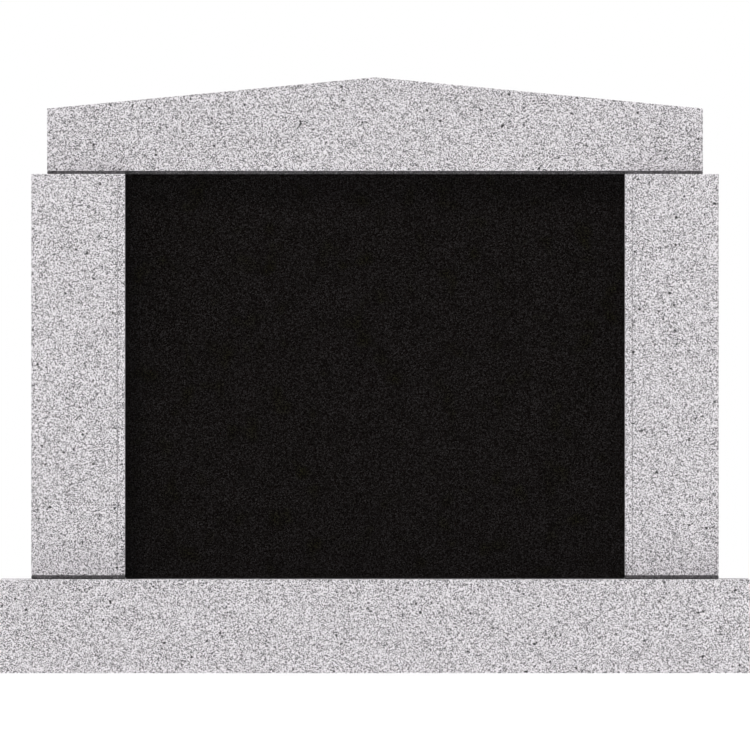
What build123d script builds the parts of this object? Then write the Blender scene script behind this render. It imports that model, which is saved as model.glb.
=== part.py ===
from build123d import *
import os

# An upright stone memorial: a long base, two posts, a black tablet set between them,
# and a low gabled cap bedded across all three, pinned together with steel dowels.
# Sizes are in millimetres. The origin is on the ground under the middle of the base,
# +Z is up, and the front faces -Y.

# The opening between the posts, and the tablet in it
opening_width = 1625.6
tablet_thickness = 203.2
tablet_arris = 2.0

# The posts, with a sawn line that sets off a narrow margin beside the tablet
post_width = 304.8
post_depth = 406.4
post_height = 1304.9
margin_width = 25.4
line_width = 2.0
line_depth = 3.2

# The base, which stands out by the same margin on all four sides of the posts
base_margin = 101.6
base_height = 304.8

# The cap, set back by one amount from the outer faces of the posts
cap_setback = 50.8
eave_height = 203.2
gable_rise = 101.6

# The drip throats, cut up into the stretches of the cap that overhang the tablet
throat_width = 9.5
throat_depth = 6.4
throat_inset = 12.7
throat_stop = 38.1

# The mortar beds, the seals beside the tablet, and how far all of them are raked back
post_bed_thickness = 12.7
tablet_bed_thickness = 3.2
cap_bed_thickness = 10.3
seal_width = 1.6
joint_recess = 2.0

# The steel dowels that pin each stone to the one below, in pairs
dowel_diameter = 20.0
dowel_length = 200.0
dowel_point = 1.5
dowel_clearance = 1.0
dowel_headroom = 3.0
post_dowel_spacing = 150.0
cap_dowel_spacing = 150.0
tablet_dowel_spacing = 1000.0

# The eased edges of the grey stones
arris = 1.5

# Sizes in plan that follow from the ones above
post_centre = (opening_width + post_width) / 2
posts_length = opening_width + 2 * post_width
base_length = posts_length + 2 * base_margin
base_depth = post_depth + 2 * base_margin
cap_length = posts_length - 2 * cap_setback
cap_depth = post_depth - 2 * cap_setback
seat_length = (cap_length - opening_width) / 2
seat_centre = (cap_length + opening_width) / 4
tablet_width = opening_width - 2 * seal_width

# Levels, from the ground up
post_foot = base_height + post_bed_thickness
post_top = post_foot + post_height
tablet_foot = base_height + tablet_bed_thickness
tablet_height = post_top - tablet_foot
cap_underside = post_top + cap_bed_thickness
eave_level = cap_underside + eave_height

# A dowel crosses its bed and reaches equally far into the stones above and below
post_dowel_depth = (dowel_length - post_bed_thickness) / 2
tablet_dowel_depth = (dowel_length - tablet_bed_thickness) / 2
cap_dowel_depth = (dowel_length - cap_bed_thickness) / 2

SIDES = (("left", -1), ("right", 1))


def front_and_back(x, spacing):
    """Two places in plan, one towards the front and one towards the back."""
    return [(x, -spacing / 2), (x, spacing / 2)]


def post_dowel_places(side):
    return front_and_back(side * post_centre, post_dowel_spacing)


def cap_dowel_places(side):
    return front_and_back(side * seat_centre, cap_dowel_spacing)


tablet_dowel_places = [(-tablet_dowel_spacing / 2, 0), (tablet_dowel_spacing / 2, 0)]


def drill(places, level, depth):
    """Cuts dowel holes from a level: upwards, or downwards if the depth is negative."""
    with BuildSketch(Plane.XY.offset(level)) as holes:
        with Locations(*places):
            Circle(dowel_diameter / 2 + dowel_clearance)
    extrude(holes.sketch, amount=depth, mode=Mode.SUBTRACT)


os.makedirs("parts", exist_ok=True)

# Base: one long block, eased all round except where it meets the ground
with BuildPart() as base:
    with BuildSketch():
        Rectangle(base_length, base_depth)
    extrude(amount=base_height)
    ground_edges = base.faces().sort_by(Axis.Z)[0].edges()
    chamfer(base.edges() - ground_edges, length=arris)
    for side_name, side in SIDES:
        drill(post_dowel_places(side), base_height, -post_dowel_depth)
    drill(tablet_dowel_places, base_height, -tablet_dowel_depth)
base.part.label = "base"
export_step(base.part, "parts/base.step")

# Posts: each is one stone. The line is sawn from end to end in the front and in the back.
for side_name, side in SIDES:
    with BuildPart() as post:
        with BuildSketch(Plane.XY.offset(post_foot)):
            with Locations((side * post_centre, 0)):
                Rectangle(post_width, post_depth)
        extrude(amount=post_height)
        chamfer(post.edges(), length=arris)
        line_x = side * (opening_width / 2 + margin_width - line_width / 2)
        with BuildSketch(Plane.XY.offset(post_foot)):
            with Locations(*front_and_back(line_x, post_depth)):
                Rectangle(line_width, 2 * line_depth)
        extrude(amount=post_height, mode=Mode.SUBTRACT)
        drill(post_dowel_places(side), post_foot, post_dowel_depth + dowel_headroom)
        drill(cap_dowel_places(side), post_top, -cap_dowel_depth)
    post.part.label = f"{side_name}_post"
    export_step(post.part, f"parts/{side_name}_post.step")

# Tablet: one black slab, polished front and back
with BuildPart() as tablet:
    with BuildSketch(Plane.XY.offset(tablet_foot)):
        Rectangle(tablet_width, tablet_thickness)
    extrude(amount=tablet_height)
    chamfer(tablet.edges(), length=tablet_arris)
    drill(tablet_dowel_places, tablet_foot, tablet_dowel_depth + dowel_headroom)
tablet.part.label = "tablet"
export_step(tablet.part, "parts/tablet.step")

# Cap: its front view is its profile, and the ridge runs from front to back
with BuildPart() as cap:
    with BuildSketch(Plane.XZ):
        with BuildLine():
            Polyline(
                (-cap_length / 2, cap_underside),
                (cap_length / 2, cap_underside),
                (cap_length / 2, eave_level),
                (0, eave_level + gable_rise),
                (-cap_length / 2, eave_level),
                close=True,
            )
        make_face()
    extrude(amount=cap_depth / 2, both=True)
    ridge = cap.edges().filter_by(Axis.Y).sort_by(Axis.Z)[-1]
    chamfer(cap.edges() - [ridge], length=arris)
    throat_y = cap_depth / 2 - throat_inset - throat_width / 2
    with BuildSketch(Plane.XY.offset(cap_underside)):
        with Locations((0, throat_y), (0, -throat_y)):
            SlotOverall(opening_width - 2 * throat_stop, throat_width)
    extrude(amount=throat_depth, mode=Mode.SUBTRACT)
    for side_name, side in SIDES:
        drill(cap_dowel_places(side), cap_underside, cap_dowel_depth + dowel_headroom)
cap.part.label = "cap"
export_step(cap.part, "parts/cap.step")

# Post beds: mortar in the outline of the post that stands on it, close round the dowels
for side_name, side in SIDES:
    with BuildPart() as post_bed:
        with BuildSketch(Plane.XY.offset(base_height)):
            with Locations((side * post_centre, 0)):
                Rectangle(post_width - 2 * joint_recess, post_depth - 2 * joint_recess)
            with Locations(*post_dowel_places(side)):
                Circle(dowel_diameter / 2, mode=Mode.SUBTRACT)
        extrude(amount=post_bed_thickness)
    post_bed.part.label = f"{side_name}_post_bed"
    export_step(post_bed.part, f"parts/{side_name}_post_bed.step")

# Tablet bed: a thin setting bed
with BuildPart() as tablet_bed:
    with BuildSketch(Plane.XY.offset(base_height)):
        Rectangle(tablet_width - 2 * joint_recess, tablet_thickness - 2 * joint_recess)
        with Locations(*tablet_dowel_places):
            Circle(dowel_diameter / 2, mode=Mode.SUBTRACT)
    extrude(amount=tablet_bed_thickness)
tablet_bed.part.label = "tablet_bed"
export_step(tablet_bed.part, "parts/tablet_bed.step")

# Cap bed: as deep as the tablet between the posts, and as deep as the cap over each post
with BuildPart() as cap_bed:
    with BuildSketch(Plane.XY.offset(post_top)):
        Rectangle(opening_width, tablet_thickness)
        with Locations((-seat_centre, 0), (seat_centre, 0)):
            Rectangle(seat_length, cap_depth)
        offset(amount=-joint_recess, kind=Kind.INTERSECTION)
        with Locations(*cap_dowel_places(-1), *cap_dowel_places(1)):
            Circle(dowel_diameter / 2, mode=Mode.SUBTRACT)
    extrude(amount=cap_bed_thickness)
cap_bed.part.label = "cap_bed"
export_step(cap_bed.part, "parts/cap_bed.step")

# Tablet seals: the narrow joint between each edge of the tablet and its post
for side_name, side in SIDES:
    with BuildPart() as tablet_seal:
        with BuildSketch(Plane.XY.offset(tablet_foot)):
            with Locations((side * (opening_width - seal_width) / 2, 0)):
                Rectangle(seal_width, tablet_thickness - 2 * (tablet_arris + joint_recess))
        extrude(amount=tablet_height)
    tablet_seal.part.label = f"{side_name}_tablet_seal"
    export_step(tablet_seal.part, f"parts/{side_name}_tablet_seal.step")

# Dowels: each stands on the bottom of the hole in the lower stone
dowel_feet = {}
for side_name, side in SIDES:
    x, y = tablet_dowel_places[0 if side < 0 else 1]
    dowel_feet[f"{side_name}_tablet_dowel"] = (x, y, base_height - tablet_dowel_depth)
    for end_name, (x, y) in zip(("front", "back"), post_dowel_places(side)):
        dowel_feet[f"{side_name}_post_{end_name}_dowel"] = (x, y, base_height - post_dowel_depth)
    for end_name, (x, y) in zip(("front", "back"), cap_dowel_places(side)):
        dowel_feet[f"{side_name}_cap_{end_name}_dowel"] = (x, y, post_top - cap_dowel_depth)

for dowel_name, foot in dowel_feet.items():
    with BuildPart() as dowel:
        with BuildSketch(Plane(origin=foot)):
            Circle(dowel_diameter / 2)
        extrude(amount=dowel_length)
        chamfer(dowel.edges().filter_by(GeomType.CIRCLE), length=dowel_point)
    dowel.part.label = dowel_name
    export_step(dowel.part, f"parts/{dowel_name}.step")
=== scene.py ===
# %% [markdown]
# # Dressing an upright stone memorial
#
# The real object is a long grey granite base, two grey posts, a polished black tablet
# between them and a low gabled cap across the top. Dark mortar fills the joints. The
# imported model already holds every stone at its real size. This lesson gives each stone
# its cut edges and its grain, fills the joints with mortar that looks struck by hand,
# and lights the whole as plainly as a catalogue picture.

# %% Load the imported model
import math

import bmesh
import bpy
from mathutils import Matrix, Vector, noise


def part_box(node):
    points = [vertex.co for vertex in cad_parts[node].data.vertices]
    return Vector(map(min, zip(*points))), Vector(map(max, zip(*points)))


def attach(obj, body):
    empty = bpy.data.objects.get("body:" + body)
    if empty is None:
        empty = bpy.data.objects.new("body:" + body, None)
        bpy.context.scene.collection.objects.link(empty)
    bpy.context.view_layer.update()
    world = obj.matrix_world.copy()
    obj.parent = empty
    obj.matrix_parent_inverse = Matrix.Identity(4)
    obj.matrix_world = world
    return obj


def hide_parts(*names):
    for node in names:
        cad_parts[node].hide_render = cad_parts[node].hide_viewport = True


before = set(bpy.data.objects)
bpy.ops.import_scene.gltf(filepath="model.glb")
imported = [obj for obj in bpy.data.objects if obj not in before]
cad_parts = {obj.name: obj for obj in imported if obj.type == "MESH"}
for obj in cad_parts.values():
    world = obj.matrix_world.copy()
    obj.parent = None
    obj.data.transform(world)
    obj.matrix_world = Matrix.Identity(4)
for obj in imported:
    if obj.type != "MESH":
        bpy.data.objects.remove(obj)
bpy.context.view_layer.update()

# %% [markdown]
# ## Small helpers for turning a bmesh into a piece
#
# A bmesh is Blender's own workbench for meshes: operators cut, pull and round it, and
# only at the end is it written to an object. Every piece here goes through one helper,
# so each one has outward faces, sits at the origin and rides on the model's only body.

# %% From bmesh to piece
def make_object(bm, name):
    """Writes a bmesh into a new object that sits at the origin."""
    bmesh.ops.recalc_face_normals(bm, faces=bm.faces)
    mesh = bpy.data.meshes.new(name)
    bm.to_mesh(mesh)
    bm.free()
    piece = bpy.data.objects.new(name, mesh)
    bpy.context.scene.collection.objects.link(piece)
    return piece


def set_in_place(piece, node, material):
    """Gives a piece its own finish, puts it on the model's body and hides the node it stands for."""
    piece.data.materials.clear()
    piece.data.materials.append(material)
    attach(piece, "root")
    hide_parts(node)
    print(f"{piece.name}: {len(piece.data.polygons)} faces, for {node}")


# %% [markdown]
# ## Blocks and prisms
#
# A saw leaves a stone with flat faces and sharp edges, so each stone starts as exactly
# that. The base, the posts and the tablet are blocks. The cap is a prism: an outline of
# five corners, pulled from front to back. A block with a moved top would also do, but an
# outline keeps the slope of the cap exact.

# %% Two ways to start a stone
def block(low, high):
    """A plain block between its lowest and highest corners."""
    bm = bmesh.new()
    bmesh.ops.create_cube(bm, size=1.0)
    bmesh.ops.scale(bm, vec=high - low, verts=bm.verts)
    bmesh.ops.translate(bm, vec=(low + high) / 2, verts=bm.verts)
    return bm


def prism(outline, pull):
    """A flat outline, pulled along a vector into a closed solid."""
    bm = bmesh.new()
    face = bm.faces.new([bm.verts.new(point) for point in outline])
    pulled = bmesh.ops.extrude_face_region(bm, geom=[face])["geom"]
    far_end = [part for part in pulled if isinstance(part, bmesh.types.BMVert)]
    bmesh.ops.translate(bm, vec=pull, verts=far_end)
    bmesh.ops.recalc_face_normals(bm, faces=bm.faces)
    return bm


# %% [markdown]
# ## Arrises
#
# The sharp edge of a stone is called an arris. A mason eases it with a rubbing stone, so
# it is a little round, never quite even, and bruised here and there. A plain bevel looks
# like plastic. Here the edge is first divided into short lengths, then bevelled, and then
# each bit of the bevel is drawn in towards the block or let out towards the old sharp
# edge. The flat faces stay flat, because every point moves straight to or from that edge.

# %% Ease and wear the arrises of a stone
step_along_arris = 0.005
arris_segments = 3
sweeps_to_edge = 8
usual_size = 0.85
wobble_length, wobble_size = 0.035, 0.35
bruise_length, bruise_size = 0.011, 2.2
bruise_shift = Vector((7, 3, 5))
bruise_threshold = 0.35


def divide(bm, edges, step):
    """Divides edges into lengths of about one step."""
    for edge in list(edges):
        cuts = round(edge.calc_length() / step) - 1
        if cuts > 0:
            bmesh.ops.subdivide_edges(bm, edges=[edge], cuts=cuts)


def flat_faces(bm):
    """A point and a normal for each face of a stone, taken while its edges are sharp."""
    bm.normal_update()
    return [(face.calc_center_median(), face.normal.copy()) for face in bm.faces]


def to_sharp_edge(point, planes):
    """The nearest point that lies on all of these planes at once."""
    for _ in range(sweeps_to_edge):
        for on_plane, normal in planes:
            point = point - (point - on_plane).dot(normal) * normal
    return point


def ease_arrises(bm, sharp, width, wear):
    """Rounds the edges that sharp() picks, then makes the rounding as uneven as handwork."""
    planes = flat_faces(bm)
    divide(bm, [edge for edge in bm.edges if sharp(edge)], step_along_arris)
    arrises = [edge for edge in bm.edges if sharp(edge)]
    worn = bm.faces.layers.float.new("arris")
    rounded = bmesh.ops.bevel(bm, geom=arrises, offset=width, offset_type="OFFSET",
                              segments=arris_segments, profile=0.5, affect="EDGES", material=-1)
    for face in rounded["faces"]:
        face[worn] = 1.0
    reach = 1.05 * width
    for vert in bm.verts:
        near = [plane for plane in planes if abs((vert.co - plane[0]).dot(plane[1])) < reach]
        if len(near) < 2:
            continue
        corner = to_sharp_edge(vert.co, near)
        wobble = noise.noise(corner / wobble_length)
        bruise = max(0.0, noise.noise(corner / bruise_length + bruise_shift) - bruise_threshold)
        size = usual_size + wear * (wobble_size * wobble + bruise_size * bruise)
        vert.co = corner + (vert.co - corner) * size


# %% [markdown]
# ## Drilling and grooving
#
# Each stone is pinned to the one below with steel dowels, and the cap has a drip throat
# under its overhang, a small groove that stops rain from running back to the tablet.
# A boolean modifier cuts both. A cutter is modelled where the hole goes, and the result
# is read back as a plain mesh, so that nothing live is left on the piece. A hole is a
# little wider than its dowel, and a little deeper, because grout has to get round it.

# %% Cut one mesh out of another
def cut_away(piece, cutter_bm):
    """Subtracts a bmesh from a piece and leaves a plain mesh."""
    cutter = make_object(cutter_bm, "cutter")
    cut = piece.modifiers.new("cut", "BOOLEAN")
    cut.operation = "DIFFERENCE"
    cut.solver = "EXACT"
    cut.object = cutter
    bpy.context.view_layer.update()
    shaped = piece.evaluated_get(bpy.context.evaluated_depsgraph_get())
    mesh = bpy.data.meshes.new_from_object(shaped)
    piece.modifiers.clear()
    old = piece.data
    piece.data = mesh
    bpy.data.meshes.remove(old)
    bpy.data.meshes.remove(cutter.data)


# %% Cutters for the dowel holes
dowel_clearance = 0.001
dowel_headroom = 0.003
hole_segments = 32


def dowel_cutters(names, clearance=dowel_clearance):
    """An upright cylinder for each named dowel, a little longer, and wider by the clearance."""
    bm = bmesh.new()
    for name in names:
        low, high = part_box(name)
        middle = (low + high) / 2
        middle.z += dowel_headroom / 2
        radius = (high.x - low.x) / 2 + clearance
        bmesh.ops.create_cone(bm, cap_ends=True, segments=hole_segments,
                              radius1=radius, radius2=radius,
                              depth=high.z - low.z + dowel_headroom,
                              matrix=Matrix.Translation(middle))
    return bm


# %% [markdown]
# ## Grain shared by every stone: two node groups
#
# Granite is a tight mass of crystals. A Voronoi texture is close to that: it splits space
# into cells around random points, and each cell can have a shade of its own. Read on
# Object coordinates it fills the whole block, so the grain turns the corner of a stone as
# it does in a real one. Some minerals meet in a crisp line, and clear ones melt into their
# neighbours, so there is a crisp group and a soft one. The groups put out plain numbers,
# and each material makes its own colours from them.

# %% Helpers for nodes
def node_group(name, inputs, outputs):
    """An empty shader node group with named sockets."""
    group = bpy.data.node_groups.new(name, "ShaderNodeTree")
    for socket_name, kind, value in inputs:
        socket = group.interface.new_socket(socket_name, in_out="INPUT", socket_type=kind)
        if value is not None:
            socket.default_value = value
    for socket_name, kind in outputs:
        group.interface.new_socket(socket_name, in_out="OUTPUT", socket_type=kind)
    return group, group.nodes.new("NodeGroupInput"), group.nodes.new("NodeGroupOutput")


def add(tree, kind, links=None, **settings):
    """Adds a node, sets its properties, and fills its inputs with values or links."""
    node = tree.nodes.new(kind)
    for setting, value in settings.items():
        setattr(node, setting, value)
    for socket, value in (links or {}).items():
        if isinstance(value, bpy.types.NodeSocket):
            tree.links.new(value, node.inputs[socket])
        else:
            node.inputs[socket].default_value = value
    return node


def ramp(tree, factor, stops, blend="LINEAR"):
    """A colour ramp with its stops given as (place, colour)."""
    node = add(tree, "ShaderNodeValToRGB", {"Fac": factor})
    node.color_ramp.interpolation = blend
    elements = node.color_ramp.elements
    while len(elements) < len(stops):
        elements.new(0.5)
    for element, (place, colour) in zip(elements, stops):
        element.position = place
        element.color = (*colour, 1.0)
    return node.outputs["Color"]


# %% The crystal groups
def make_crystal_group(name, softness):
    """Crystals of one size, with frayed edges.

    Pick and Shade are two random numbers for each crystal. The third output is painted shading:
    a slope across the crystal, lighter on one side, as where light falls on a cleaved face.
    Middle is the way from its middle.
    """
    group, given, result = node_group(
        name,
        [("Vector", "NodeSocketVector", None), ("Size", "NodeSocketFloat", 0.004),
         ("Raggedness", "NodeSocketFloat", 0.5)],
        [("Pick", "NodeSocketFloat"), ("Shade", "NodeSocketFloat"), ("Painted Facet Shade", "NodeSocketFloat"),
         ("Middle", "NodeSocketFloat")])
    per_metre = add(group, "ShaderNodeMath", {0: 1.0, 1: given.outputs["Size"]},
                    operation="DIVIDE")
    scaled = add(group, "ShaderNodeVectorMath",
                 {0: given.outputs["Vector"], "Scale": per_metre.outputs[0]}, operation="SCALE")
    stir = add(group, "ShaderNodeTexNoise",
               {"Vector": scaled.outputs[0], "Scale": 1.3, "Detail": 3.0, "Roughness": 0.6})
    centred = add(group, "ShaderNodeVectorMath", {0: stir.outputs["Color"], 1: (0.5, 0.5, 0.5)},
                  operation="SUBTRACT")
    nudge = add(group, "ShaderNodeVectorMath",
                {0: centred.outputs[0], "Scale": given.outputs["Raggedness"]}, operation="SCALE")
    place = add(group, "ShaderNodeVectorMath", {0: scaled.outputs[0], 1: nudge.outputs[0]},
                operation="ADD").outputs[0]
    if softness:
        cells = add(group, "ShaderNodeTexVoronoi",
                    {"Vector": place, "Scale": 1.0, "Smoothness": softness}, feature="SMOOTH_F1")
    else:
        cells = add(group, "ShaderNodeTexVoronoi", {"Vector": place, "Scale": 1.0}, feature="F1")
    parts = add(group, "ShaderNodeSeparateColor", {"Color": cells.outputs["Color"]})
    # Painted shading across each crystal: a slope from its middle, in a random direction of its own.
    from_middle = add(group, "ShaderNodeVectorMath", {0: place, 1: cells.outputs["Position"]},
                      operation="SUBTRACT")
    direction = add(group, "ShaderNodeVectorMath", {0: cells.outputs["Color"], 1: (0.5, 0.5, 0.5)},
                    operation="SUBTRACT")
    painted_facet_slope = add(group, "ShaderNodeVectorMath", {0: from_middle.outputs[0], 1: direction.outputs[0]},
               operation="DOT_PRODUCT")
    group.links.new(parts.outputs[0], result.inputs["Pick"])
    group.links.new(parts.outputs[1], result.inputs["Shade"])
    group.links.new(painted_facet_slope.outputs["Value"], result.inputs["Painted Facet Shade"])
    group.links.new(cells.outputs["Distance"], result.inputs["Middle"])
    return group


crisp_crystals = make_crystal_group("crisp crystals", 0.0)
soft_crystals = make_crystal_group("soft crystals", 0.35)
print("crystal groups:", crisp_crystals.name, "and", soft_crystals.name)

# %% [markdown]
# ## Grey granite
#
# Seen from a few steps away this stone is a fine salt and pepper. Up close it is a pale
# body of felspar and glassy grey quartz that melt into each other, with crisp flakes of
# black mica about 2 mm across on it, and a larger fleck here and there. One picture of
# granite could be wrapped round every stone, but it would stretch and show its seams, so
# each crystal is made where it lies: a random number picks its mineral. Noise alone would
# blur the mica, and hard steps alone would look like floor mosaic, which is why the body
# is soft and only the mica is crisp. The rubbed surface is dull, with the mica a little
# shinier than the rest.

# %% Helpers for a stone's finish
def start_material(name):
    """A new material with its node tree, its shader, and the place of each point in metres."""
    material = bpy.data.materials.new(name)
    material.use_nodes = True
    tree = material.node_tree
    shader = tree.nodes["Principled BSDF"]
    coordinates = add(tree, "ShaderNodeTexCoord")
    return material, tree, shader, coordinates.outputs["Object"]


def crystal_layer(tree, group, vector, size, raggedness):
    """One layer of crystals in a material, as large and as ragged as it is told."""
    layer = add(tree, "ShaderNodeGroup")
    layer.node_tree = group
    tree.links.new(vector, layer.inputs["Vector"])
    layer.inputs["Size"].default_value = size
    layer.inputs["Raggedness"].default_value = raggedness
    return layer.outputs


def mix_colours(tree, factor, first, second, blend="MIX"):
    """Mixes two colours by a factor, each of them a number, a colour or a link."""
    node = tree.nodes.new("ShaderNodeMix")
    node.data_type = "RGBA"
    node.blend_type = blend
    for socket, value in ((0, factor), (6, first), (7, second)):
        if isinstance(value, bpy.types.NodeSocket):
            tree.links.new(value, node.inputs[socket])
        elif socket == 0:
            node.inputs[socket].default_value = value
        else:
            node.inputs[socket].default_value = (*value, 1.0)
    return node.outputs[2]


def shade(tree, colour, factor, low, high, darkest, lightest):
    """Multiplies a colour by a grey that goes from darkest to lightest with a factor."""
    grey = ramp(tree, factor, [(low, (darkest,) * 3), (high, (lightest,) * 3)])
    return mix_colours(tree, 1.0, colour, grey, "MULTIPLY")


def map_range(tree, value, low, high, to_low, to_high):
    """A number that goes from one range to another and stays within it."""
    ranges = {"Value": value, "From Min": low, "From Max": high, "To Min": to_low, "To Max": to_high}
    return add(tree, "ShaderNodeMapRange", ranges).outputs[0]


def mottle(tree, vector, per_metre):
    """Fine cloudy noise, for what goes on inside a crystal."""
    cloudy = add(tree, "ShaderNodeTexNoise", {"Vector": vector, "Scale": per_metre, "Detail": 3.0})
    return cloudy.outputs["Fac"]


def flakes(tree, vector, size, share):
    """Crisp flakes on a small share of the places: their mask, and a random number for each."""
    layer = crystal_layer(tree, crisp_crystals, vector, size, 1.1)
    mask = ramp(tree, layer["Pick"], [(0.0, (1, 1, 1)), (share, (0, 0, 0))], "CONSTANT")
    return mask, layer["Shade"]


# %% Grey granite material
felspar_size = 0.0026
mica_size, mica_share = 0.00235, 0.190
large_flakes = ((0.0040, 0.006), (0.0070, 0.0006))
cleavage_per_metre = 900.0
worn_paleness = 0.15


def grey_stone(level):
    """A grey of this stone, whose green is a little lower than its red and blue."""
    return (level, 0.962 * level, level)


def make_grey_granite(name, offset):
    """Fine grey granite. The offset shifts the grain, so that no two stones share a block."""
    material, tree, shader, object_place = start_material(name)
    place = add(tree, "ShaderNodeMapping", {"Vector": object_place, "Location": offset}).outputs[0]

    body = crystal_layer(tree, soft_crystals, place, felspar_size, 0.9)
    colour = ramp(tree, body["Pick"], [
        (0.00, grey_stone(0.24)), (0.24, grey_stone(0.28)),
        (0.33, grey_stone(0.80)), (0.60, grey_stone(0.895)), (0.85, grey_stone(0.945))])
    # Painted shading: each crystal is darkened towards one side, as if light fell across its cleaved
    # face.
    painted_facet_shade = map_range(tree, body["Painted Facet Shade"], -0.25, 0.25, 0.0, 1.0)
    colour = shade(tree, colour, painted_facet_shade, 0.0, 1.0, 0.92, 1.0)
    cleavage = mottle(tree, place, cleavage_per_metre)
    colour = shade(tree, colour, cleavage, 0.33, 0.60, 0.88, 1.0)

    mica, mica_shade = flakes(tree, place, mica_size, mica_share)
    mica_colour = ramp(tree, mica_shade, [
        (0.0, grey_stone(0.012)), (0.7, grey_stone(0.035)), (1.0, grey_stone(0.100))])
    colour = mix_colours(tree, mica, colour, mica_colour)
    for size, share in large_flakes:
        fleck, _ = flakes(tree, place, size, share)
        colour = mix_colours(tree, fleck, colour, grey_stone(0.022))
    clouds = add(tree, "ShaderNodeTexNoise", {"Vector": place, "Scale": 14.0, "Detail": 2.0})
    colour = shade(tree, colour, clouds.outputs["Fac"], 0.3, 0.7, 0.98, 1.0)

    worn = add(tree, "ShaderNodeAttribute", attribute_name="arris")
    lift = add(tree, "ShaderNodeMath", {0: worn.outputs["Fac"], 1: worn_paleness},
               operation="MULTIPLY")
    colour = mix_colours(tree, lift.outputs[0], colour, grey_stone(0.80))
    tree.links.new(colour, shader.inputs["Base Color"])

    dull = ramp(tree, body["Pick"], [(0.0, (0.46,) * 3), (0.4, (0.60,) * 3)])
    dull = mix_colours(tree, mica, dull, (0.36,) * 3)
    tree.links.new(dull, shader.inputs["Roughness"])
    rubbed = add(tree, "ShaderNodeBump", {"Height": cleavage, "Strength": 0.2, "Distance": 0.0001})
    tree.links.new(rubbed.outputs[0], shader.inputs["Normal"])
    shader.inputs["Specular IOR Level"].default_value = 0.3
    return material


granites = {
    "base": make_grey_granite("grey granite of the base", (0.0, 0.0, 0.0)),
    "left_post": make_grey_granite("grey granite of the left post", (3.1, 0.7, 1.9)),
    "right_post": make_grey_granite("grey granite of the right post", (5.3, 2.2, 0.4)),
    "cap": make_grey_granite("grey granite of the cap", (1.7, 4.6, 2.8)),
}
print("grey granites:", ", ".join(granites))

# %% [markdown]
# ## Black granite
#
# The tablet is nearly black. Its crystals are a little larger than the grey stone's and
# show as a faint charcoal mottle, with slow patches that tend to olive. Small painted
# glints are put into its colour: light specks where a polished crystal would catch the
# light. It is polished: face on it looks deep and dark, and at a slant it mirrors the
# ground and the posts. A plain gloss would veil the front as well, so the mirror is a coat
# whose weight comes from the angle of view, which is how a polish gathers light on real
# stone.

# %% Black granite material
charcoal_size = 0.0032
charcoal_per_metre = 700.0
painted_glint_kinds = ((0.0014, 0.05, 0.030), (0.0028, 0.03, 0.020))


def black_stone(level):
    """A near-black of this stone, a little warm at every level."""
    return (1.03 * level + 0.0005, 0.975 * level - 0.0004, 0.965 * level - 0.0005)


def make_black_granite():
    """Black granite with a polish. Each kind of painted glint, a light speck in the colour, has a
    size, a share and a level.
    """
    material, tree, shader, object_place = start_material("polished black granite")
    body = crystal_layer(tree, soft_crystals, object_place, charcoal_size, 0.9)
    colour = ramp(tree, body["Pick"], [
        (0.00, black_stone(0.0006)), (0.42, black_stone(0.0014)),
        (0.74, black_stone(0.0055)), (1.00, black_stone(0.0182))])
    charcoal = mottle(tree, object_place, charcoal_per_metre)
    colour = shade(tree, colour, charcoal, 0.35, 0.65, 0.5, 1.5)
    # Painted glints: light specks put into the colour where a polished crystal would catch the light.
    for size, share, level in painted_glint_kinds:
        painted_glints, painted_glint_shade = flakes(tree, object_place, size, share)
        painted_glint_colour = ramp(tree, painted_glint_shade, [
            (0.0, black_stone(0.4 * level)), (1.0, black_stone(1.4 * level))])
        colour = mix_colours(tree, painted_glints, colour, painted_glint_colour)
    patches = add(tree, "ShaderNodeTexNoise", {"Vector": object_place, "Scale": 11.0, "Detail": 2.0})
    patch_shade = ramp(tree, patches.outputs["Fac"], [
        (0.26, (0.76, 0.78, 0.40)), (0.42, (0.95, 0.95, 0.95)), (0.72, (1.22, 1.22, 1.26))])
    colour = mix_colours(tree, 1.0, colour, patch_shade, "MULTIPLY")
    tree.links.new(colour, shader.inputs["Base Color"])
    smooth = map_range(tree, body["Shade"], 0.0, 1.0, 0.05, 0.11)
    tree.links.new(smooth, shader.inputs["Roughness"])
    shader.inputs["Specular IOR Level"].default_value = 0.03
    slant = add(tree, "ShaderNodeLayerWeight", {"Blend": 0.5})
    polish = map_range(tree, slant.outputs["Facing"], 0.01, 0.25, 0.0, 0.8)
    tree.links.new(polish, shader.inputs["Coat Weight"])
    shader.inputs["Coat Roughness"].default_value = 0.03
    return material


black_granite = make_black_granite()
print("black granite:", len(black_granite.node_tree.nodes), "nodes")

# %% [markdown]
# ## Mortar, sealant and steel
#
# The mortar is dark and sandy, with paler and darker grit in it. Under the cap it is
# painted a little paler, to make up for the shade that the cap's overhang casts there.
# The sealant beside the tablet is a smooth dark bead.
# The dowels are plain drawn steel rods that never see daylight, with the fine lengthwise
# lines that drawing leaves.

# %% Mortar material
sand_size = 0.0011
grit_kinds = ((0.0026, 0.13, 0.210), (0.0030, 0.14, 0.026))
smear_per_metre = 260.0
sand_relief = 0.0006


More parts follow.
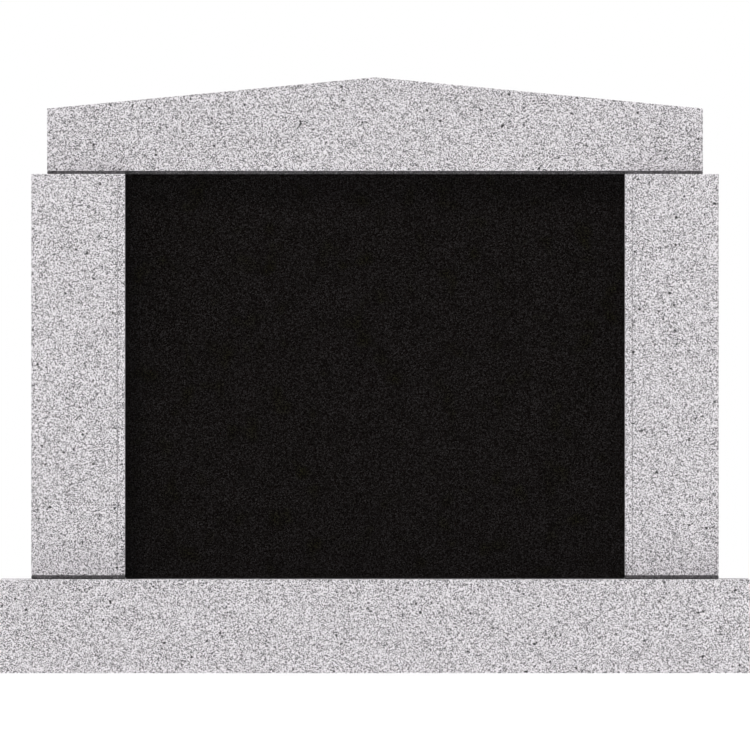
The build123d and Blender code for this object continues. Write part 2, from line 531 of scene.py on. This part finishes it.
def make_mortar(name, paleness):
    """Sandy mortar. Each kind of grit has a size, a share and a level."""
    material, tree, shader, object_place = start_material(name)
    sand = crystal_layer(tree, crisp_crystals, object_place, sand_size, 0.8)
    colour = ramp(tree, sand["Pick"], [
        (0.0, grey_stone(paleness * 0.044)), (0.5, grey_stone(paleness * 0.074)),
        (1.0, grey_stone(paleness * 0.130))])
    for size, share, level in grit_kinds:
        grit, _ = flakes(tree, object_place, size, share)
        colour = mix_colours(tree, grit, colour, grey_stone(paleness * level))
    smears = mottle(tree, object_place, smear_per_metre)
    colour = shade(tree, colour, smears, 0.35, 0.65, 0.80, 1.15)
    patches = add(tree, "ShaderNodeTexNoise", {"Vector": object_place, "Scale": 9.0, "Detail": 2.0})
    colour = shade(tree, colour, patches.outputs["Fac"], 0.3, 0.7, 0.85, 1.1)
    tree.links.new(colour, shader.inputs["Base Color"])
    dull = map_range(tree, sand["Shade"], 0.0, 1.0, 0.8, 0.95)
    tree.links.new(dull, shader.inputs["Roughness"])
    gritty = add(tree, "ShaderNodeBump",
                 {"Height": sand["Middle"], "Strength": 0.7, "Distance": sand_relief}, invert=True)
    tree.links.new(gritty.outputs[0], shader.inputs["Normal"])
    shader.inputs["Specular IOR Level"].default_value = 0.25
    return material


# %% Sealant and steel materials
def make_sealant():
    """Smooth dark rubber with a little dust on it."""
    material, tree, shader, object_place = start_material("dark sealant")
    dust = add(tree, "ShaderNodeTexNoise", {"Vector": object_place, "Scale": 60.0, "Detail": 4.0})
    colour = ramp(tree, dust.outputs["Fac"], [
        (0.3, (0.010, 0.010, 0.010)), (0.75, (0.024, 0.023, 0.024))])
    tree.links.new(colour, shader.inputs["Base Color"])
    dull = map_range(tree, dust.outputs["Fac"], 0.0, 1.0, 0.5, 0.7)
    tree.links.new(dull, shader.inputs["Roughness"])
    shader.inputs["Specular IOR Level"].default_value = 0.25
    return material


def make_steel():
    """Bright steel with fine lines along the rod."""
    material, tree, shader, object_place = start_material("drawn steel")
    stretched = add(tree, "ShaderNodeMapping", {"Vector": object_place, "Scale": (900.0, 900.0, 9.0)})
    lines = add(tree, "ShaderNodeTexNoise",
                {"Vector": stretched.outputs[0], "Scale": 1.0, "Detail": 3.0}).outputs["Fac"]
    colour = ramp(tree, lines, [(0.3, (0.42, 0.42, 0.43)), (0.7, (0.60, 0.60, 0.61))])
    tree.links.new(colour, shader.inputs["Base Color"])
    rubbed = map_range(tree, lines, 0.0, 1.0, 0.30, 0.48)
    tree.links.new(rubbed, shader.inputs["Roughness"])
    shader.inputs["Metallic"].default_value = 1.0
    return material


plain_mortar = make_mortar("dark pointing mortar", 1.05)
# The second mortar is the same one painted paler, to make up for the shade under the cap's overhang.
paler_mortar_against_shade = make_mortar("pointing mortar painted paler against shade", 1.35)
sealant = make_sealant()
steel = make_steel()
print("finishes:", ", ".join(material.name for material in (plain_mortar, paler_mortar_against_shade, sealant, steel)))

# %% [markdown]
# ## The base
#
# One long block. All its edges are eased except the ones that it stands on. The posts
# and the tablet are pinned into its top, so it has six dowel holes.

# %% Base
stone_arris = 0.0015
tablet_arris = 0.002
same_level = 1e-5


def all_at(edge, axis, value):
    """Whether both ends of an edge lie at one value along an axis."""
    return all(abs(vert.co[axis] - value) < same_level for vert in edge.verts)


def post_dowels(side):
    return [f"{side}_post_front_dowel", f"{side}_post_back_dowel"]


def cap_dowels(side):
    return [f"{side}_cap_front_dowel", f"{side}_cap_back_dowel"]


tablet_dowels = ["left_tablet_dowel", "right_tablet_dowel"]

base_low, base_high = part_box("base")
bm = block(base_low, base_high)
ease_arrises(bm, lambda edge: not all_at(edge, 2, base_low.z), stone_arris, 1.0)
base = make_object(bm, "base_stone")
cut_away(base, dowel_cutters(post_dowels("left") + post_dowels("right") + tablet_dowels))
set_in_place(base, "base", granites["base"])

# %% [markdown]
# ## The posts
#
# A post is a square block with a fine line sawn down its front and its back, an inch from
# the edge beside the tablet. It sets off a narrow margin, like the border of a picture
# frame. A painted line would vanish from the side, so it is cut, after the arrises are
# eased, because a saw leaves its two lips sharp.

# %% Posts
margin_width = 0.0254
line_width = 0.0020
line_depth = 0.0032
saw_overrun = 0.005


def saw_cutter(low, high, line_x):
    """The blade's path down the front and the back of a post, a little past both ends."""
    bm = bmesh.new()
    for face_y in (low.y, high.y):
        middle = Vector((line_x, face_y, (low.z + high.z) / 2))
        blade = bmesh.ops.create_cube(bm, size=1.0)["verts"]
        path = (line_width, 2 * line_depth, high.z - low.z + 2 * saw_overrun)
        bmesh.ops.scale(bm, vec=path, verts=blade)
        bmesh.ops.translate(bm, vec=middle, verts=blade)
    return bm


for side in ("left", "right"):
    low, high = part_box(f"{side}_post")
    if side == "left":
        line_x = high.x - margin_width + line_width / 2
    else:
        line_x = low.x + margin_width - line_width / 2
    bm = block(low, high)
    ease_arrises(bm, lambda edge: True, stone_arris, 1.0)
    post = make_object(bm, f"{side}_post_stone")
    cut_away(post, saw_cutter(low, high, line_x))
    cut_away(post, dowel_cutters(post_dowels(side) + cap_dowels(side)))
    set_in_place(post, f"{side}_post", granites[f"{side}_post"])

# %% [markdown]
# ## The tablet
#
# A plain slab. A polished stone is eased by machine, so its arris is wider and steadier
# than that of the grey stones.

# %% Tablet
tablet_low, tablet_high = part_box("tablet")
bm = block(tablet_low, tablet_high)
ease_arrises(bm, lambda edge: True, tablet_arris, 0.25)
tablet = make_object(bm, "tablet_stone")
cut_away(tablet, dowel_cutters(tablet_dowels))
set_in_place(tablet, "tablet", black_granite)

# %% [markdown]
# ## The cap
#
# The outline of the cap is its front view: upright ends, and two slopes that meet in a
# ridge. It is pulled from front to back. The ridge is left as it is cut, and every other
# edge is eased. A throat runs along the underside behind each long edge.

# %% Cap
gable_rise = 0.1016
throat_width = 0.0095
throat_depth = 0.0064
throat_inset = 0.0127
throat_stop = 0.0381
throat_rounding = 0.49 * throat_width
throat_segments = 6

cap_low, cap_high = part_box("cap")
eave_z = cap_high.z - gable_rise
front_view = [(cap_low.x, cap_low.y, cap_low.z), (cap_high.x, cap_low.y, cap_low.z),
              (cap_high.x, cap_low.y, eave_z), (0, cap_low.y, cap_high.z),
              (cap_low.x, cap_low.y, eave_z)]
bm = prism(front_view, Vector((0, cap_high.y - cap_low.y, 0)))
ease_arrises(bm, lambda edge: not all_at(edge, 2, cap_high.z), stone_arris, 1.0)
cap = make_object(bm, "cap_stone")
cut_away(cap, dowel_cutters(cap_dowels("left") + cap_dowels("right")))


def throat_cutter(middle_y, half_length):
    """A flat bar with rounded ends, which stands in the cap by the depth of the throat."""
    centre = Vector((0, middle_y, cap_low.z))
    half = Vector((half_length, throat_width / 2, throat_depth))
    bar = block(centre - half, centre + half)
    ends = [edge for edge in bar.edges if abs(edge.verts[0].co.z - edge.verts[1].co.z) > throat_depth]
    bmesh.ops.bevel(bar, geom=ends, offset=throat_rounding, offset_type="OFFSET",
                    segments=throat_segments, profile=0.5, affect="EDGES", material=-1)
    return bar


throat_half_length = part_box("tablet")[1].x - throat_stop
throat_y = cap_high.y - throat_inset - throat_width / 2
for middle_y in (-throat_y, throat_y):
    cut_away(cap, throat_cutter(middle_y, throat_half_length))
set_in_place(cap, "cap", granites["cap"])

# %% [markdown]
# ## Mortar beds
#
# Each stone sits on a bed of mortar. Where the bed shows, it has been struck with an iron
# into a low bead that comes out almost to the faces of the stones. Its edge is a wall of
# rings: the outline is divided finely, pulled up in small steps, and each ring is moved
# in or out by the bead and by the sand in the mortar. Only the wall needs this, so the top
# and bottom are filled as single faces. The mortar closes tightly round the dowels that
# pass through it, so the bed is drilled at their own width.

# %% How a bed is made
ring_step = 0.004
rings = 8
bead_height = 0.0022
bead_recess = 0.0004
sand_depth, sand_length = 0.0003, 0.0035
drift_depth, drift_length = 0.0003, 0.045


def mortar_bed(outline, low_z, high_z):
    """A bed with a struck and sandy edge, from its outline in plan."""
    bm = bmesh.new()
    corners = [bm.verts.new((x, y, low_z)) for x, y in outline]
    ring = [bm.edges.new((corners[i - 1], corners[i])) for i in range(len(corners))]
    divide(bm, ring, ring_step)
    ring = list(bm.edges)
    bottom = list(ring)
    for _ in range(rings):
        pulled = bmesh.ops.extrude_edge_only(bm, edges=ring)["geom"]
        lifted = [part for part in pulled if isinstance(part, bmesh.types.BMVert)]
        bmesh.ops.translate(bm, vec=(0, 0, (high_z - low_z) / rings), verts=lifted)
        ring = [part for part in pulled if isinstance(part, bmesh.types.BMEdge)]
    bmesh.ops.recalc_face_normals(bm, faces=bm.faces)
    bm.normal_update()
    for vert in bm.verts:
        across = (vert.co.z - low_z) / (high_z - low_z)
        out = vert.normal.copy()
        out.z = 0
        out.normalize()
        bead = bead_height * (1 - (2 * across - 1) ** 2) - bead_recess
        sand = sand_depth * noise.noise(vert.co / sand_length)
        drift = drift_depth * noise.noise(vert.co / drift_length)
        vert.co += out * (bead + sand + drift)
    bmesh.ops.edgeloop_fill(bm, edges=bottom)
    bmesh.ops.edgeloop_fill(bm, edges=ring)
    return bm


def set_bed(node, outline, dowels, mortar):
    """Makes the bed of one joint, drills it for its dowels and lets it stand for its node."""
    low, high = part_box(node)
    bed = make_object(mortar_bed(outline, low.z, high.z), f"{node}_mortar")
    cut_away(bed, dowel_cutters(dowels, clearance=0.0))
    set_in_place(bed, node, mortar)


# %% Beds under the posts and the tablet
for node, dowels in (("left_post_bed", post_dowels("left")), ("right_post_bed", post_dowels("right")),
                     ("tablet_bed", tablet_dowels)):
    low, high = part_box(node)
    corners = [(low.x, low.y), (high.x, low.y), (high.x, high.y), (low.x, high.y)]
    set_bed(node, corners, dowels, plain_mortar)

# %% Bed under the cap
low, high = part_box("cap_bed")
waist_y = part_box("tablet_bed")[1].y
seat_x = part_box("right_post_bed")[0].x
# The bed under the cap gets the mortar that is painted paler, against the shade of the cap's
# overhang.
set_bed("cap_bed", [
    (low.x, low.y), (-seat_x, low.y), (-seat_x, -waist_y), (seat_x, -waist_y), (seat_x, low.y),
    (high.x, low.y), (high.x, high.y), (seat_x, high.y), (seat_x, waist_y), (-seat_x, waist_y),
    (-seat_x, high.y), (low.x, high.y)], cap_dowels("left") + cap_dowels("right"), paler_mortar_against_shade)

# %% [markdown]
# ## Seals beside the tablet
#
# A hair-thin bead of sealant closes the joint between the tablet and each post. A wet
# finger draws it hollow, and it is never quite straight, so the strip's two thin sides
# are pulled in at the middle and let wander a little on the way up.

# %% Seals
seal_hollow = 0.0004
cuts_up = 150
cuts_across = 3
wander_depth, wander_length = 0.0003, 0.02

for side in ("left", "right"):
    low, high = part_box(f"{side}_tablet_seal")
    bm = block(low, high)
    upright = [edge for edge in bm.edges if abs(edge.verts[0].co.z - edge.verts[1].co.z) > same_level]
    bmesh.ops.subdivide_edges(bm, edges=upright, cuts=cuts_up, use_grid_fill=True)
    across = [edge for edge in bm.edges if abs(edge.verts[0].co.x - edge.verts[1].co.x) > same_level]
    bmesh.ops.subdivide_edges(bm, edges=across, cuts=cuts_across, use_grid_fill=True)
    middle = (low + high) / 2
    for vert in bm.verts:
        from_edge = 1 - (2 * (vert.co.x - middle.x) / (high.x - low.x)) ** 2
        wander = wander_depth * noise.noise(vert.co / wander_length)
        towards_core = -1 if vert.co.y > middle.y else 1
        vert.co.y += towards_core * (seal_hollow * from_edge + max(0.0, wander))
    seal = make_object(bm, f"{side}_seal_bead")
    set_in_place(seal, f"{side}_tablet_seal", sealant)

# %% [markdown]
# ## Dowels
#
# The dowels are right as the model has them, so they stay and only get their steel.

# %% Dowels
for name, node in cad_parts.items():
    if name.endswith("_dowel"):
        node.data.materials.clear()
        node.data.materials.append(steel)
print("dowels:", sum(name.endswith("_dowel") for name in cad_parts))

# %% [markdown]
# ## Floor and light
#
# The memorial stands on a plain white floor in a white surround. One broad lamp from the
# front left shapes it, and a weaker one from behind keeps the back from going flat. The
# levels are chosen so that a colour shows about as it is written. The camera and the
# polish see the surround as plain white. As bright as that it would bleach the stones, so
# its light on them is weaker.

# %% Floor
floor_half_size = 40.0
bm = bmesh.new()
bmesh.ops.create_grid(bm, x_segments=1, y_segments=1, size=floor_half_size)
floor = make_object(bm, "floor")
floor_paint, tree, shader, object_place = start_material("white floor")
tone = add(tree, "ShaderNodeTexNoise", {"Vector": object_place, "Scale": 3.0, "Detail": 2.0})
floor_colour = ramp(tree, tone.outputs["Fac"], [
    (0.0, (0.97, 0.97, 0.97)), (1.0, (0.975, 0.975, 0.975))])
tree.links.new(floor_colour, shader.inputs["Base Color"])
shader.inputs["Roughness"].default_value = 0.9
shader.inputs["Specular IOR Level"].default_value = 0.0
floor.data.materials.append(floor_paint)
print("floor:", 2 * floor_half_size, "m square")

# %% Surround
surround_light = 0.42
world = bpy.data.worlds.new("white surround")
bpy.context.scene.world = world
world.use_nodes = True
tree = world.node_tree
rays = add(tree, "ShaderNodeLightPath")
seen = add(tree, "ShaderNodeMath",
           {0: rays.outputs["Is Camera Ray"], 1: rays.outputs["Is Glossy Ray"]},
           operation="MAXIMUM")
seen = add(tree, "ShaderNodeMath", {0: seen.outputs[0], 1: rays.outputs["Is Transmission Ray"]},
           operation="MAXIMUM")
strength = add(tree, "ShaderNodeMapRange",
               {"Value": seen.outputs[0], "To Min": surround_light, "To Max": 1.0})
background = tree.nodes["Background"]
background.inputs["Color"].default_value = (1.0, 1.0, 1.0, 1.0)
tree.links.new(strength.outputs[0], background.inputs["Strength"])
print("surround:", surround_light, "on the stones, 1.0 to the camera")


# %% Lamps
def add_sun(name, azimuth, elevation, level, softness):
    """A broad lamp. Its level is what a white card turned to face it would show."""
    lamp = bpy.data.lights.new(name, "SUN")
    lamp.energy = level * math.pi
    lamp.angle = math.radians(softness)
    sun = bpy.data.objects.new(name, lamp)
    a, e = math.radians(azimuth), math.radians(elevation)
    towards = Vector((math.sin(a) * math.cos(e), -math.cos(a) * math.cos(e), math.sin(e)))
    sun.rotation_euler = towards.to_track_quat("Z", "Y").to_euler()
    bpy.context.scene.collection.objects.link(sun)
    print(f"{name}: {azimuth} degrees round from the front, {elevation} up, level {level}")


add_sun("key lamp", -30, 62, 0.71, 14)
add_sun("back lamp", 150, 45, 0.17, 30)

# %% [markdown]
# ## Camera
#
# The picture is a straight front view with no perspective in it. A very long lens from
# far away comes close to that and is still a real camera. It looks level, from as high as
# the middle of the picture, and stands as far back as lets the base fill the width.

# %% Camera
photo_width = 750
metres_per_pixel = (base_high.x - base_low.x) / photo_width
ground_line = 672.97
lens = 1500.0
sensor = 36.0
farthest_seen = 400.0

camera_data = bpy.data.cameras.new("camera")
camera_data.lens = lens
camera_data.sensor_width = sensor
camera_data.clip_end = farthest_seen
camera = bpy.data.objects.new("camera", camera_data)
bpy.context.scene.collection.objects.link(camera)
distance = (base_high.x - base_low.x) / 2 / (sensor / 2 / lens)
eye_height = (ground_line - photo_width / 2) * metres_per_pixel
camera.location = (0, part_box("left_post")[0].y - distance, eye_height)
camera.rotation_euler = (math.radians(90), 0, 0)
bpy.context.scene.camera = camera
bpy.context.scene.view_settings.view_transform = "Standard"
print("camera", round(distance, 2), "m away,", round(eye_height, 4), "m up")
